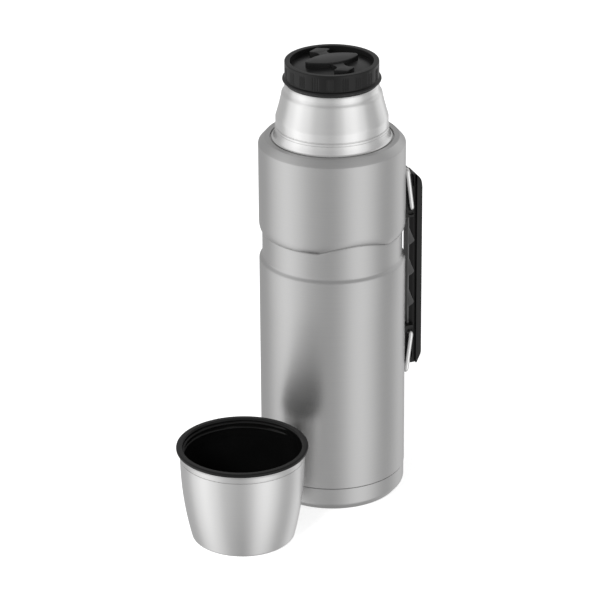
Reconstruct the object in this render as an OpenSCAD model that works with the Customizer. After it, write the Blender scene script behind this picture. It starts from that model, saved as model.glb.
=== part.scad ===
// Two-litre steel vacuum flask with a screw stopper, a drinking cup standing beside it
// and a fold-out side handle on two wire bails.
// The origin is on the floor at the flask's axis. +Z is up and the handle is on +X.

/* [Flask body] */
// Outer radius of the barrel
body_r = 54; // [48:0.5:66]
// Height of the shoulder, where the neck starts
shoulder_z = 281.6; // [240:1:340]
// Wall of the outer shell
shell_wall = 0.8; // [0.5:0.1:1.5]
// Height of the shoulder's chamfer
shoulder_chamfer_h = 5.2; // [3:0.1:8]
// Width of the shoulder's chamfer, measured inwards
shoulder_chamfer_w = 4.6; // [3:0.1:6]
// Height of the base cap
base_cap_h = 19.1; // [15:0.1:26]
// Height of the rounding at the foot
foot_round_h = 7.4; // [4:0.1:10]
// Width of the rounding at the foot
foot_round_w = 5; // [3:0.1:8]
// Thickness of the base cap's floor
base_floor = 1.6; // [1:0.1:3]
// Step between the barrel and the base cap
base_step = 0.35; // [0.2:0.05:0.8]

/* [Recessed band] */
// Height of the band's middle line
band_z = 198; // [150:1:215]
// Width of the band's flat, between its two ramps
band_flat_h = 17.6; // [12:0.1:24]
// Depth of the band
band_depth = 2.3; // [1.2:0.1:2.6]
// Height of the soft ramp below the band
band_ramp_low = 4.6; // [3:0.1:7]
// Height of the ramp above the band
band_ramp_high = 4.4; // [3:0.1:7]
// Width of the arched bay in the band's upper edge
bay_w = 53; // [40:1:66]
// Height that the bay adds to the band
bay_h = 5.2; // [3:0.1:8]

/* [Neck] */
// Radius of the neck's foot
neck_foot_r = 44.4; // [40:0.1:47]
// Radius of the cylinder above the foot
neck_low_r = 41.4; // [38:0.1:43]
// Radius at the top of the neck's cone
neck_top_r = 36.4; // [35.6:0.1:37.6]
// Height of the concave foot
neck_foot_h = 7.1; // [5:0.1:9]
// Height of the cylinder above the foot, with the bead
neck_low_h = 8.8; // [6:0.1:11]
// Height of the cone
neck_cone_h = 18.5; // [14:0.1:24]
// Height of the rounded lip above the cone
neck_lip_h = 6.4; // [4:0.1:8]
// Radius of the bore that takes the stopper
mouth_r = 31.6; // [31:0.1:32]
// Height of the cup's bead above the concave foot
bead_h = 2; // [1.5:0.1:2.5]
// Bead proud of the cylinder
bead_out = 0.6; // [0.3:0.1:0.9]

/* [Inner vessel] */
// Wall of the inner vessel
vessel_wall = 0.6; // [0.4:0.1:1]
// Vacuum gap between the vessel and the band's back
vacuum_gap = 1.3; // [1.1:0.1:2.5]
// Gap between the outer bottom and the vessel's floor
vessel_floor_gap = 4; // [3:0.5:8]
// Height of the vessel's sloping shoulder
vessel_shoulder_h = 22; // [16:1:30]
// Radius of the hole below the stopper's seat
seat_r = 28.4; // [28.1:0.1:29]

/* [Stopper] */
// Radius of the stopper's fluted side
stopper_r = 34.9; // [34.6:0.1:37]
// Height of the stopper above the lip
stopper_h = 16.3; // [14:0.1:22]
// Number of flutes
flutes = 36; // [24:1:48]
// Width of a flute
flute_w = 1.5; // [0.8:0.1:2]
// Width of the stopper's rim
rim_w = 4.4; // [3:0.1:4.7]
// Depth of the recess in the stopper's top
recess_depth = 4.5; // [3:0.1:5]
// Radius of the flange below the flutes
flange_r = 36.05; // [35.6:0.05:38]
// Height of the flange
flange_h = 2.4; // [1.5:0.1:3.5]
// Radius of the plug
plug_r = 29.6; // [29.2:0.1:29.8]
// Length of the raised grip plate
plate_l = 43; // [34:0.5:46]
// Width of the raised grip plate
plate_w = 19; // [14:0.5:24]
// Height of the raised grip plate above the dome
plate_h = 3.4; // [2:0.1:4.5]
// Rise of the domed top disc
dome_h = 2.8; // [1:0.1:3.5]
// Distance from the axis to the tip of a pour arrow
arrow_reach = 26.3; // [22:0.1:28]
// Width of a pour arrow
arrow_w = 14.5; // [10:0.5:16]
// Rise of the stopper in one turn
thread_lead = 15; // [12:1:18]
// Starts of the stopper's thread
thread_starts = 3; // [2:1:3]

/* [Cup] */
// Height of the cup
cup_h = 73; // [66:0.5:88]
// Outer radius of the cup's black rim
cup_rim_r = 48.4; // [47.6:0.1:54]
// Radius of the steel just below the collar
cup_top_r = 45.7; // [44.8:0.1:46]
// Radius of the steel at the foot
cup_foot_r = 37.6; // [34:0.1:42]
// Rounding at the foot
cup_foot_round = 2.4; // [1.5:0.1:4]
// Wall of the steel
cup_wall = 0.7; // [0.5:0.1:1.2]
// Wall of the liner
liner_wall = 1.3; // [1:0.1:1.6]
// Height of the liner's rim
cup_rim_h = 2.6; // [2:0.1:4]
// Height of the steel collar below the rim
collar_h = 4.9; // [4:0.1:7]
// Distance from the cup's axis to the flask's axis
cup_distance = 109.5; // [109.5:0.5:140]
// Direction of the cup, counted from -X towards -Y
cup_angle = 32.24; // [10:0.01:60]
// Pitch of the thread inside the cup
cup_pitch = 3.7; // [3:0.1:4.5]

/* [Handle] */
// Length of the grip
grip_l = 152.4; // [146:0.1:160]
// Width of the grip
grip_w = 17.6; // [16:0.1:20]
// Height of the grip's middle
grip_z = 167; // [155:0.5:175]
// Gap between the folded grip's ends and the barrel
grip_gap = 0.8; // [0.6:0.1:1.5]
// Distance from the barrel to the grip's outer face
grip_reach = 14; // [13:0.1:17]
// Distance from the barrel to the middle of the grip
pad_gap = 4.3; // [4.2:0.1:4.8]
// Width of the pad between the finger ridges
pad_w = 9; // [7:0.1:11]
// Distance between finger ridges
ridge_pitch = 25.1; // [22:0.1:25.5]
// Diameter of the bail wire
wire_d = 3; // [2.4:0.1:3.2]
// Distance between the bails' pins in the brackets
bracket_spread = 162.4; // [158:0.1:170]
// Distance between the bails' crossbars in the grip
crossbar_spread = 100.8; // [100:0.1:102]
// Distance from the barrel to the bails' pins
pin_out = 2.1; // [2:0.1:2.6]
// Distance from the barrel to the bails' crossbars
crossbar_out = 6; // [5.8:0.1:6.2]
// Length of the crossbar's slide in the lower slot
lower_slide = 19.5; // [19.5:0.1:20]

/* [Fits] */
// Clearance round a wire in its bore
pin_clearance = 0.08; // [0.05:0.01:0.1]
// Clearance beside a crossbar in its slot
slot_clearance = 0.1; // [0.1:0.05:0.2]
// Gap between pieces that are pressed or welded together
seam = 0.02; // [0.02:0.01:0.05]

/* [Hidden] */
$fn = 96;
eps = 0.01;
arc_steps = 8;

// Flask heights and radii
band_r = body_r - band_depth;
band_back_r = band_r - shell_wall;
band_low = band_z - band_flat_h / 2 - band_ramp_low;
band_high = band_z + band_flat_h / 2 + band_ramp_high;
shoulder_r = body_r - shoulder_chamfer_w;
skirt_z = foot_round_h + 1.6;
skirt_r = body_r - base_step - shell_wall - seam;
bottom_wall = 1;
vessel_floor_z = skirt_z + bottom_wall + vessel_floor_gap;
bead_z = shoulder_z + neck_foot_h;
cone_z = bead_z + neck_low_h;
lip_z = cone_z + neck_cone_h;
mouth_z = lip_z + neck_lip_h;
vessel_r = band_back_r - vacuum_gap - vessel_wall;
vessel_shoulder_z = shoulder_z - vessel_shoulder_h + 2;
vessel_foot_r = 8;
seat_z = shoulder_z + 2.4;
seat_land = 4;
seat_slope = 4;
foil_t = 0.15;
foil_end = 8;
getter_r = 6;
getter_h = 2.2;
getter_place = 24;
pinch_r = 2;
plug_disc_r = 5;
plug_disc_h = 1.4;

// Stopper heights
lip_gap = 0.8;
cap_z = mouth_z + lip_gap;
stopper_top = cap_z + stopper_h;
insert_t = 0.7;
recess_z = stopper_top - recess_depth;
recess_r = stopper_r - rim_w;
cap_floor = 2.6;
plug_top = recess_z - insert_t - cap_floor;
plug_shoulder_z = seat_z + seat_land + seat_slope + 1.2;
plug_wall = 2;
thread_out = 1.3;
thread_thick = 1.7;
thread_turn = 0.42;
thread_z = plug_shoulder_z + 4;
seal_h = 2.1;
seal_r = plug_r + 0.3;
bottom_r = seat_r - 0.8;
bottom_z = seat_z - 1;
oring_d = 1.8;
oring_r = mouth_r + 1.5;
plate_clip = 1.6;
arrow_drop = 1.1;
arrow_head_h = 4.6;
arrow_stem = 0.72;
flute_gap = 2.2;
flute_turn = 3.7;

// Cup
cup_x = -cup_distance * cos(cup_angle);
cup_y = -cup_distance * sin(cup_angle);
collar_top = cup_h - cup_rim_h;
collar_z = collar_top - collar_h;
collar_line = 0.3;
liner_gap = 0.15;
liner_r = cup_top_r - cup_wall - liner_gap;
liner_floor = 3;
cup_thread_in = 0.9;
cup_thread_thick = 1.4;
cup_thread_turns = 2;
cup_thread_drop = 5.4;

// Handle, in the plane y = 0 with x as the distance from the flask's axis
grip_in_x = body_r + grip_gap;
grip_out_x = body_r + grip_reach;
pad_in_x = body_r + pad_gap;
pin_x = body_r + pin_out;
crossbar_x = body_r + crossbar_out;
wire_r = wire_d / 2;
parting_x = crossbar_x + wire_r + slot_clearance;
grip_low_z = grip_z - grip_l / 2;
grip_high_z = grip_z + grip_l / 2;
pocket_floor = grip_w / 2 - 2.4;
pocket_out_x = crossbar_x + wire_r + 1.5;
pocket_end_r = 3.6;
pocket_past = 4.8;
block_past = 8.6;
leg_y = pocket_floor + wire_r + 0.5;
leg_thinner = 0.03;
bend_swell = 0.1;
pin_end_y = 2.2;
bracket_w = 11;
bracket_h = 5.8;
bracket_wall = 0.8;
top_round = 4.6;
tail_chamfer_w = 3.8;
tail_chamfer_h = 8;
edge_round = 1.4;
cavity_depth = 4;
cavity_end = 42;
boss_r = 3.4;
screw_r = 1.4;
screw_head_r = 2.6;
screw_head_h = 1.8;
screw_spread = 84;
ridge_up = 9;
ridge_down = 5.5;
ridge_steps = 7;

// Quarter ellipse from angle a0 to a1 about (cr, cz)
function ellipse_arc(cr, cz, wr, wz, a0, a1) =
    [for (i = [0 : arc_steps]) let (a = a0 + (a1 - a0) * i / arc_steps) [cr + wr * cos(a), cz + wz * sin(a)]];

// The neck's cone is a gentle flare
function neck_r(u) = neck_top_r + (neck_low_r - neck_top_r) * pow(1 - u, 1.25);

// The cup's side is a parabola that straightens towards the collar
function cup_side_r(z) = cup_foot_r + (cup_top_r - cup_foot_r) * (1 - pow(1 - min(z / collar_z, 1), 2));

// Outline of the neck from the foot to the lip, moved inwards by t
function neck_line(t) = concat(
    [for (p = ellipse_arc(neck_foot_r, bead_z, neck_foot_r - neck_low_r - bead_out, neck_foot_h, 270, 180))
        [p[0] - t, p[1]]],
    [[neck_low_r + bead_out - t, bead_z + bead_h], [neck_low_r - t, bead_z + bead_h + bead_out]],
    [for (i = [0 : arc_steps]) [neck_r(i / arc_steps) - t, cone_z + neck_cone_h * i / arc_steps]]
);

// A straight round bar of radius r from p to q
module bar(p, q, r) {
    d = q - p;
    translate(p)
        rotate([0, acos(d[2] / norm(d)), atan2(d[1], d[0])])
            cylinder(r = r, h = norm(d), $fn = 48);
}

// A helical ridge whose root is at root_r and whose crest is at crest_r
module ridge_helix(root_r, crest_r, thick, lead, turns, steps) {
    half = thick / 2;
    tip = half * 0.5;
    rings = [for (i = [0 : steps]) let (
            a = 360 * turns * i / steps,
            z = lead * turns * i / steps,
            k = min(1, 4 * min(i, steps - i) / steps + 0.25),
            c = root_r + (crest_r - root_r) * k
        ) [
            [root_r * cos(a), root_r * sin(a), z - half],
            [c * cos(a), c * sin(a), z - tip],
            [c * cos(a), c * sin(a), z + tip],
            [root_r * cos(a), root_r * sin(a), z + half]
        ]];
    points = [for (r = rings) for (p = r) p];
    inward = crest_r < root_r;
    sides = [for (i = [0 : steps - 1]) for (j = [0 : 3])
        let (a = 4 * i + j, b = 4 * i + (j + 1) % 4, c = b + 4, d = a + 4)
        inward ? [d, c, b, a] : [a, b, c, d]];
    ends = [[3, 2, 1, 0], [for (j = [0 : 3]) 4 * steps + j]];
    polyhedron(points, concat(sides, inward ? [for (e = ends) [for (k = [3 : -1 : 0]) e[k]]] : ends));
}

// The bay in the band's upper edge, a low arch with sharp ends seen from the front
module band_bay() {
    z0 = band_z;
    z1 = band_high - band_ramp_high / 2;
    half = bay_w / 2;
    arch = [for (i = [-arc_steps : arc_steps]) let (u = i / arc_steps) [-u * half, z1 + bay_h * (1 - u * u)]];
    rotate([90, 0, 0])
        linear_extrude(body_r + 1)
            polygon(concat([[-half, z0], [half, z0]], arch));
}

module outer_body() {
    back_r = body_r - shell_wall;
    back_low = band_low - shell_wall;
    back_high = band_high + bay_h + shell_wall;
    color("silver")
        difference() {
            rotate_extrude()
                polygon([[skirt_r, skirt_z], [skirt_r, base_cap_h], [body_r, base_cap_h], [body_r, band_low],
                    [band_r, band_low + band_ramp_low], [band_r, band_high - band_ramp_high],
                    [body_r, band_high], [body_r, shoulder_z - shoulder_chamfer_h],
                    [shoulder_r, shoulder_z], [neck_foot_r, shoulder_z], [neck_foot_r, shoulder_z - shell_wall],
                    [shoulder_r - shell_wall / 2, shoulder_z - shell_wall],
                    [back_r, shoulder_z - shoulder_chamfer_h - shell_wall / 2], [back_r, back_high],
                    [band_back_r, back_high], [band_back_r, back_low], [back_r - base_step, back_low],
                    [back_r - base_step, base_cap_h + 1], [skirt_r - shell_wall, base_cap_h],
                    [skirt_r - shell_wall, skirt_z]]);
            intersection() {
                band_bay();
                difference() {
                    translate([0, 0, band_z])
                        cylinder(r = body_r + 2, h = bay_h + band_high - band_z + 1);
                    translate([0, 0, band_z - 1])
                        cylinder(r = band_r, h = bay_h + band_high - band_z + 3);
                }
            }
        }
}

module outer_bottom() {
    color("silver")
        translate([0, 0, skirt_z])
            difference() {
                cylinder(r = skirt_r - shell_wall - seam, h = bottom_wall);
                translate([0, 0, -eps])
                    cylinder(r = pinch_r, h = bottom_wall + 2 * eps);
            }
}

module base_cap() {
    cap_r = body_r - base_step;
    inner_r = cap_r - shell_wall;
    color("silver")
        rotate_extrude()
            polygon(concat(
                [[0, 0]],
                ellipse_arc(cap_r - foot_round_w, foot_round_h, foot_round_w, foot_round_h, 270, 360),
                [[cap_r, base_cap_h - seam], [inner_r, base_cap_h - seam], [inner_r, foot_round_h + 1],
                    [cap_r - foot_round_w, base_floor], [0, base_floor]]));
}

module neck_shell() {
    t = shell_wall;
    outer = neck_line(0);
    inner = neck_line(t);
    lip_r = mouth_r + vessel_wall + seam;
    color("gainsboro")
        rotate_extrude()
            polygon(concat(
                [for (p = outer) p],
                ellipse_arc(lip_r + t, lip_z, neck_top_r - lip_r - t, neck_lip_h, 15, 90),
                [[lip_r, mouth_z], [lip_r, lip_z + neck_lip_h - 1.4], [neck_top_r - t, lip_z]],
                [for (i = [len(inner) - 2 : -1 : 1]) inner[i]],
                [[neck_foot_r - t, shoulder_z - 2], [neck_foot_r - seam, shoulder_z - 2],
                    [neck_foot_r - seam, shoulder_z]]));
}

module inner_vessel() {
    w = vessel_wall;
    f = vessel_foot_r;
    color("lightgray")
        rotate_extrude()
            polygon(concat(
                [[0, vessel_floor_z]],
                ellipse_arc(vessel_r - f, vessel_floor_z + f, f, f, 270, 360),
                [[vessel_r, vessel_shoulder_z - seam], [vessel_r - w, vessel_shoulder_z - seam]],
                ellipse_arc(vessel_r - f, vessel_floor_z + f, f - w, f - w, 360, 270),
                [[0, vessel_floor_z + w]]));
}

// The vessel's shoulder and neck, welded to its body, with the seat for the stopper's lower seal
module inner_neck() {
    w = vessel_wall;
    seat_top = seat_z + seat_land;
    color("lightgray")
        rotate_extrude()
            polygon([[vessel_r, vessel_shoulder_z], [seat_r + w, seat_z - 1], [seat_r + w, seat_top],
                [mouth_r + w, seat_top + seat_slope], [mouth_r + w, mouth_z], [mouth_r, mouth_z],
                [mouth_r, seat_top + seat_slope], [seat_r, seat_top], [seat_r, seat_z - 1],
                [vessel_r - w, vessel_shoulder_z]]);
}

module radiation_foil() {
    low = vessel_floor_z + foil_end + 2;
    color("orange")
        difference() {
            translate([0, 0, low])
                cylinder(r = vessel_r + seam + foil_t, h = vessel_shoulder_z - foil_end - low);
            translate([0, 0, low - eps])
                cylinder(r = vessel_r + seam, h = vessel_shoulder_z - foil_end - low + 2 * eps);
        }
}

module getter() {
    color("dimgray")
        translate([getter_place, 0, skirt_z + bottom_wall + seam])
            cylinder(r = getter_r, h = getter_h);
}

module vacuum_plug() {
    color("gray")
        translate([0, 0, skirt_z - plug_disc_h - seam]) {
            cylinder(r = plug_disc_r, h = plug_disc_h);
            cylinder(r = pinch_r - seam, h = plug_disc_h + bottom_wall);
        }
}

// A pressed bracket with its bore along y, its back fitted to the barrel
module bracket(z) {
    out = pin_out + wire_r + pin_clearance + bracket_wall;
    color("#2b2b2d")
        translate([0, 0, z])
            difference() {
                union() {
                    translate([body_r - 1, -bracket_w / 2, -bracket_h / 2])
                        cube([1 + pin_out, bracket_w, bracket_h]);
                    translate([pin_x, -bracket_w / 2, 0])
                        rotate([-90, 0, 0])
                            cylinder(r = out - pin_out, h = bracket_w);
                }
                translate([0, 0, -bracket_h])
                    cylinder(r = body_r + seam, h = 2 * bracket_h, $fn = 200);
                translate([pin_x, -bracket_w, 0])
                    rotate([-90, 0, 0])
                        cylinder(r = wire_r + pin_clearance, h = 2 * bracket_w);
            }
}

module upper_bracket() { bracket(grip_z + bracket_spread / 2); }
module lower_bracket() { bracket(grip_z - bracket_spread / 2); }

// A bail: a crossbar in the grip, two legs, and two pins that turn in a bracket
module bail(side) {
    pin = [pin_x, 0, grip_z + side * bracket_spread / 2];
    crossbar = [crossbar_x, 0, grip_z + side * crossbar_spread / 2];
    color("gainsboro") {
        bar(crossbar - [0, leg_y, 0], crossbar + [0, leg_y, 0], wire_r);
        for (s = [-1, 1]) {
            bar(pin + [0, s * pin_end_y, 0], pin + [0, s * leg_y, 0], wire_r);
            bar(pin + [0, s * leg_y, 0], crossbar + [0, s * leg_y, 0], wire_r - leg_thinner);
            for (corner = [pin, crossbar])
                translate(corner + [0, s * leg_y, 0])
                    sphere(r = wire_r + bend_swell, $fn = 48);
        }
    }
}

module upper_bail() { bail(1); }
module lower_bail() { bail(-1); }

// The side outline of the grip, with a rounded head and a chamfered tail
module grip_outline(x0, x1) {
    polygon(concat(
        [[x0, grip_low_z], [x1 - tail_chamfer_w, grip_low_z], [x1, grip_low_z + tail_chamfer_h]],
        ellipse_arc(x1 - top_round, grip_high_z - top_round, top_round, top_round, 0, 90),
        [[x0, grip_high_z]]));
}

// A solid of the outline, width w, centred on y = 0
module grip_slab(x0, x1, w) {
    translate([0, w / 2, 0])
        rotate([90, 0, 0])
            linear_extrude(w)
                grip_outline(x0, x1);
}

// The pocket beside the grip that a bail's leg folds into
module leg_pocket(side) {
    end_z = grip_z + side * (crossbar_spread / 2 - pocket_past + pocket_end_r);
    run = grip_l / 2 - crossbar_spread / 2 + pocket_past + 2;
    centre_x = pocket_out_x - pocket_end_r;
    for (s = [-1, 1])
        translate([0, s > 0 ? pocket_floor : -grip_w, 0]) {
            translate([centre_x, 0, end_z])
                rotate([-90, 0, 0])
                    cylinder(r = pocket_end_r, h = grip_w - pocket_floor);
            translate([grip_in_x - 2, 0, side > 0 ? end_z : end_z - run])
                cube([pocket_out_x - grip_in_x + 2, grip_w - pocket_floor, run]);
        }
}

module grip_shell() {
    cavity_l = grip_l - 2 * cavity_end;
    color("#1b1b1c")
        difference() {
            grip_slab(parting_x, grip_out_x, grip_w);
            for (s = [-1, 1])
                translate([grip_out_x, s * grip_w / 2, grip_z])
                    rotate([0, 0, 45])
                        cube([edge_round, edge_round, grip_l * 2], center = true);
            leg_pocket(1);
            leg_pocket(-1);
            difference() {
                translate([parting_x - eps, -pocket_floor, grip_z - cavity_l / 2])
                    cube([cavity_depth + eps, 2 * pocket_floor, cavity_l]);
                screw_row(boss_r, parting_x - 1, cavity_depth + 2);
            }
            screw_row(screw_r - seam, parting_x - eps, cavity_depth - 0.5);
        }
}

// Cylinders along x at the grip's screws
module screw_row(r, x, h) {
    for (s = [-1, 1])
        translate([x, 0, grip_z + s * (screw_spread / 2 - boss_r)])
            rotate([0, 90, 0])
                cylinder(r = r, h = h, $fn = 32);
}

// A finger ridge: it swells sideways to a tip and falls away below it
module finger_ridge() {
    inner = pad_w / 2;
    rise = grip_w / 2 - inner;
    sections = [for (i = [-ridge_steps : ridge_steps]) let (
            t = i / ridge_steps,
            z = t > 0 ? t * ridge_up : t * ridge_down,
            k = t > 0 ? 1 - pow(t, 1.4) : 1 - pow(-t, 2.4),
            w = inner - 0.4 + (rise + 0.4) * k
        ) [
            [pad_in_x + 0.4, -inner + 0.2, z], [pad_in_x + 0.4, inner - 0.2, z],
            [parting_x - 0.9, w, z], [parting_x - 0.2, w, z],
            [parting_x - 0.2, -w, z], [parting_x - 0.9, -w, z]
        ]];
    points = [for (s = sections) for (p = s) p];
    n = 6;
    last = n * (len(sections) - 1);
    sides = [for (i = [0 : len(sections) - 2]) for (j = [0 : n - 1])
        let (a = n * i + j, b = n * i + (j + 1) % n) [a, b, b + n, a + n]];
    polyhedron(points, concat(sides, [[5, 4, 3, 2, 1, 0], [for (j = [0 : n - 1]) last + j]]));
}

// The block at one end of the pad that holds a crossbar
module end_block(side) {
    low = side > 0 ? grip_z + crossbar_spread / 2 - block_past : grip_low_z;
    high = side > 0 ? grip_high_z : grip_z - crossbar_spread / 2 + block_past;
    translate([grip_in_x, -grip_w / 2, low])
        cube([parting_x - grip_in_x, grip_w, high - low]);
}

module grip_pad() {
    slot_half = wire_r + slot_clearance;
    bar_high = grip_z + crossbar_spread / 2;
    bar_low = grip_z - crossbar_spread / 2;
    color("#262627")
        difference() {
            union() {
                end_block(1);
                end_block(-1);
                translate([pad_in_x, -pad_w / 2, bar_low])
                    cube([parting_x - pad_in_x, pad_w, crossbar_spread]);
                translate([parting_x - 1.2, -grip_w / 2 + 1, bar_low])
                    cube([1.2, grip_w - 2, crossbar_spread]);
                for (i = [-1 : 1])
                    translate([0, 0, grip_z + i * ridge_pitch])
                        finger_ridge();
            }
            leg_pocket(1);
            leg_pocket(-1);
            translate([crossbar_x - slot_half, -grip_w, bar_high - slot_half])
                cube([2 * slot_half + 1, 2 * grip_w, 2 * slot_half]);
            translate([crossbar_x - slot_half, -grip_w, bar_low - lower_slide - slot_half])
                cube([2 * slot_half + 1, 2 * grip_w, lower_slide + 2 * slot_half]);
            screw_row(screw_r + 0.2, pad_in_x - 1, grip_reach);
            screw_row(screw_head_r + 0.2, pad_in_x - 1, 1 + screw_head_h);
        }
}

module grip_screws() {
    shank = parting_x + cavity_depth - 1 - pad_in_x;
    color("silver")
        difference() {
            union() {
                screw_row(screw_r - 2 * seam, pad_in_x + 0.3, shank);
                screw_row(screw_head_r, pad_in_x + 0.3, screw_head_h - 0.3);
            }
            for (a = [0, 90])
                for (s = [-1, 1])
                    translate([pad_in_x + 0.3, 0, grip_z + s * (screw_spread / 2 - boss_r)])
                        rotate([a, 0, 0])
                            cube([1.4, 0.7, 3], center = true);
        }
}

module stopper_cap() {
    skirt_in = plug_r + 0.2;
    flute_low = cap_z + flange_h + 1.2;
    color("#1d1d1e")
        difference() {
            rotate_extrude()
                polygon(concat(
                    [[0, plug_top + seam], [skirt_in, plug_top + seam], [skirt_in, cap_z]],
                    [[flange_r - 0.9, cap_z], [flange_r, cap_z + 0.9], [flange_r, cap_z + flange_h]],
                    [[stopper_r, cap_z + flange_h + 0.7], [stopper_r, stopper_top - 0.8]],
                    ellipse_arc(stopper_r - 0.8, stopper_top - 0.8, 0.8, 0.8, 0, 90),
                    [[recess_r + 0.6, stopper_top], [recess_r, stopper_top - 0.6],
                        [recess_r, recess_z - insert_t], [0, recess_z - insert_t]]));
            for (i = [0 : flutes - 1])
                rotate([0, 0, 360 * i / flutes + flute_turn])
                    translate([stopper_r + flute_w * 0.3, 0, flute_low])
                        cylinder(d = flute_w, h = stopper_top - flute_gap - flute_low, $fn = 24);
            translate([0, 0, cap_z - eps])
                difference() {
                    cylinder(r = oring_r + oring_d / 2 + 0.1, h = oring_d * 0.85 + 0.1);
                    translate([0, 0, -1])
                        cylinder(r = oring_r - oring_d / 2 - 0.1, h = oring_d + 2);
                }
        }
}

// Top piece of the stopper: a domed disc with a lens-shaped grip plate and two pour arrows
module stopper_insert() {
    half_l = plate_l / 2 + plate_clip;
    lens_r = (half_l * half_l + plate_w * plate_w / 4) / plate_w;
    floor_z = recess_z - insert_t + seam;
    disc_r = recess_r - 0.2;
    head = arrow_w / 2;
    stem = head * arrow_stem;
    neck = arrow_reach - arrow_head_h;
    dome = [for (i = [0 : arc_steps]) let (u = 1 - i / arc_steps) [disc_r * u, recess_z + dome_h * (1 - u * u)]];
    color("#232324") {
        rotate_extrude()
            polygon(concat([[0, floor_z], [disc_r, floor_z]], dome));
        translate([0, 0, floor_z])
            linear_extrude(insert_t + dome_h + plate_h)
                intersection() {
                    square([plate_l, plate_w + 2], center = true);
                    translate([0, lens_r - plate_w / 2])
                        circle(r = lens_r, $fn = 200);
                    translate([0, plate_w / 2 - lens_r])
                        circle(r = lens_r, $fn = 200);
                }
        for (s = [-1, 1])
            translate([0, 0, floor_z])
                linear_extrude(insert_t + dome_h + plate_h - arrow_drop)
                    polygon([[-stem, 0], [-stem, s * neck], [-head, s * neck], [-head * 0.15, s * arrow_reach],
                        [head * 0.15, s * arrow_reach], [head, s * neck], [stem, s * neck], [stem, 0]]);
    }
}

module stopper_plug() {
    spigot_r = bottom_r - plug_wall;
    color("#2a2a2b") {
        rotate_extrude()
            polygon([[spigot_r - plug_wall, plug_shoulder_z - seal_h], [spigot_r, plug_shoulder_z - seal_h],
                [spigot_r, plug_shoulder_z], [plug_r, plug_shoulder_z], [plug_r, plug_top],
                [plug_r - plug_wall, plug_top], [plug_r - plug_wall, plug_shoulder_z + plug_wall],
                [spigot_r - plug_wall, plug_shoulder_z + plug_wall]]);
        for (i = [0 : thread_starts - 1])
            translate([0, 0, thread_z])
                rotate([0, 0, 360 * i / thread_starts])
                    ridge_helix(plug_r - 0.3, plug_r + thread_out, thread_thick, thread_lead, thread_turn, 20);
    }
}

module stopper_foam() {
    color("white")
        translate([0, 0, plug_shoulder_z + plug_wall + 0.3])
            cylinder(r = plug_r - plug_wall - 0.3, h = plug_top - plug_shoulder_z - plug_wall - 0.6);
}

module stopper_bottom() {
    top = plug_shoulder_z - seal_h - seam;
    color("#2a2a2b")
        rotate_extrude()
            polygon([[0, bottom_z], [bottom_r - 1, bottom_z], [bottom_r, bottom_z + 1], [bottom_r, top], [0, top]]);
}

module stopper_seal_upper() {
    color("gray")
        translate([0, 0, cap_z + oring_d * 0.35])
            rotate_extrude()
                translate([oring_r, 0])
                    circle(d = oring_d, $fn = 32);
}

module stopper_seal_lower() {
    inner = bottom_r - plug_wall + 0.05;
    low = plug_shoulder_z - seal_h + seam;
    color("gray")
        rotate_extrude()
            polygon([[inner, low], [seal_r - 0.8, low], [seal_r, low + 0.8],
                [seal_r, plug_shoulder_z - seam], [inner, plug_shoulder_z - seam]]);
}

module cup_shell() {
    steps = 12;
    side = [for (i = [0 : steps])
        let (z = cup_foot_round + (collar_z - cup_foot_round) * i / steps) [cup_side_r(z), z]];
    foot_r = cup_side_r(cup_foot_round);
    t = cup_wall;
    lip_r = cup_rim_r - 0.5;
    color("gainsboro")
        translate([cup_x, cup_y, 0])
            rotate_extrude()
                polygon(concat(
                    [[0, 0]],
                    ellipse_arc(foot_r - cup_foot_round, cup_foot_round, cup_foot_round, cup_foot_round, 270, 350),
                    side,
                    [[cup_top_r + collar_line, collar_z + collar_line], [lip_r, collar_top - seam],
                        [lip_r - t, collar_top - seam], [cup_top_r + collar_line - t, collar_z + 1]],
                    [for (i = [steps : -1 : 0]) [side[i][0] - t, side[i][1] + (i == 0 ? 0.4 : 0)]],
                    [[foot_r - cup_foot_round, t], [0, t]]));
}

module cup_liner() {
    steps = 12;
    low = liner_floor;
    gap = cup_wall + liner_gap;
    side = [for (i = [0 : steps])
        let (z = low + (collar_z - low) * i / steps) [cup_side_r(z) - gap - (i == 0 ? 1 : 0), z]];
    color("#161617")
        translate([cup_x, cup_y, 0]) {
            rotate_extrude()
                polygon(concat(
                    [[0, low - 1]],
                    [for (i = [0 : steps]) side[i] - [0, i == 0 ? 1 : 0]],
                    [[liner_r, collar_top], [cup_rim_r - 0.5, collar_top], [cup_rim_r, collar_top + 0.6]],
                    ellipse_arc(cup_rim_r - 0.9, cup_h - 0.9, 0.9, 0.9, 0, 90),
                    [[liner_r - liner_wall + 0.6, cup_h], [liner_r - liner_wall, cup_h - 0.6]],
                    [for (i = [steps : -1 : 0]) [side[i][0] - liner_wall, side[i][1] + (i == 0 ? 0.8 : 0)]],
                    [[0, low + 0.8]]));
            translate([0, 0, cup_h - cup_thread_drop - cup_pitch * cup_thread_turns])
                ridge_helix(liner_r - liner_wall + 0.3, liner_r - liner_wall - cup_thread_in,
                    cup_thread_thick, cup_pitch, cup_thread_turns, 64);
        }
}

outer_body();
outer_bottom();
base_cap();
neck_shell();
inner_vessel();
inner_neck();
radiation_foil();
getter();
vacuum_plug();
upper_bracket();
lower_bracket();
upper_bail();
lower_bail();
grip_shell();
grip_pad();
grip_screws();
stopper_cap();
stopper_insert();
stopper_plug();
stopper_foam();
stopper_bottom();
stopper_seal_upper();
stopper_seal_lower();
cup_shell();
cup_liner();
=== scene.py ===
"""A steel vacuum flask with its screw stopper, its side handle and its cup, standing on a pale floor."""

import math

import bmesh
import bpy
from mathutils import Matrix, Vector


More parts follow.
